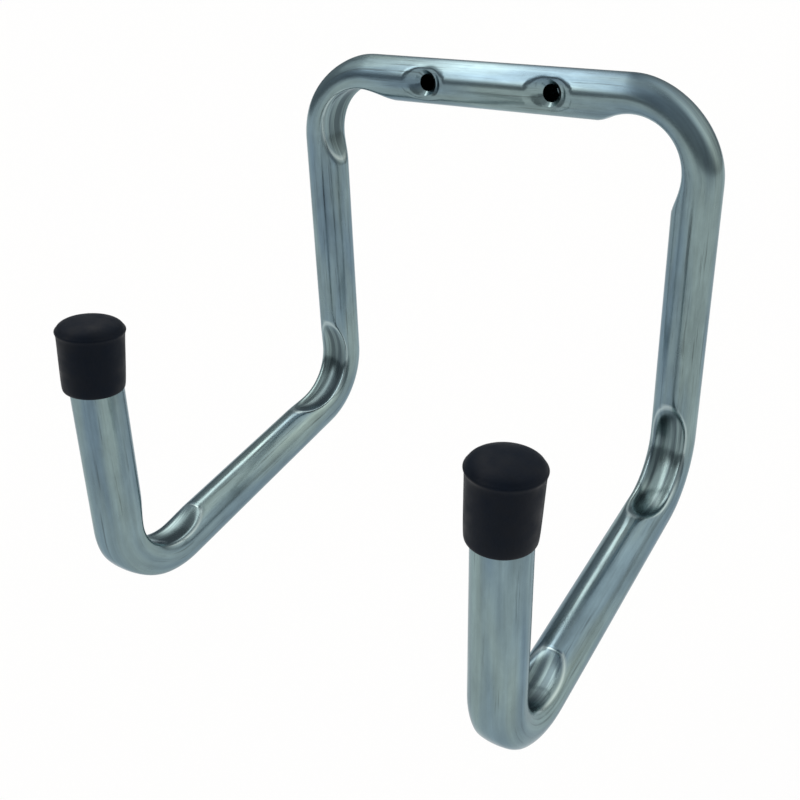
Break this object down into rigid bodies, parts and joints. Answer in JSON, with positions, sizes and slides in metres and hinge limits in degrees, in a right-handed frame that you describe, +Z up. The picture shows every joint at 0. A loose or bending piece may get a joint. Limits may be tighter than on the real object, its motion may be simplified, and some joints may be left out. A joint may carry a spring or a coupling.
{
  "type": "double wall hook",
  "caption": "Wall-mounted storage hook bent from one tube: a screwed bar, posts, forward arms and upturned tips with soft end caps.",
  "frame": {"origin": "midpoint between the two screw holes, on the wall plane that touches the back of the bar and posts", "axes": "+X along the bar to the right seen from the room, -Y out from the wall into the room, +Z up"},
  "size_m": [0.168, 0.1407, 0.1702],
  "materials": {
    "zinc_plated_steel": "bright zinc plating with a blue-green tint",
    "black_soft_plastic": "satin black"
  },
  "bodies": {
    "root": {"hook_frame": "zinc_plated_steel", "end_cap_right": "black_soft_plastic", "end_cap_left": "black_soft_plastic"}
  },
  "joints": []
}
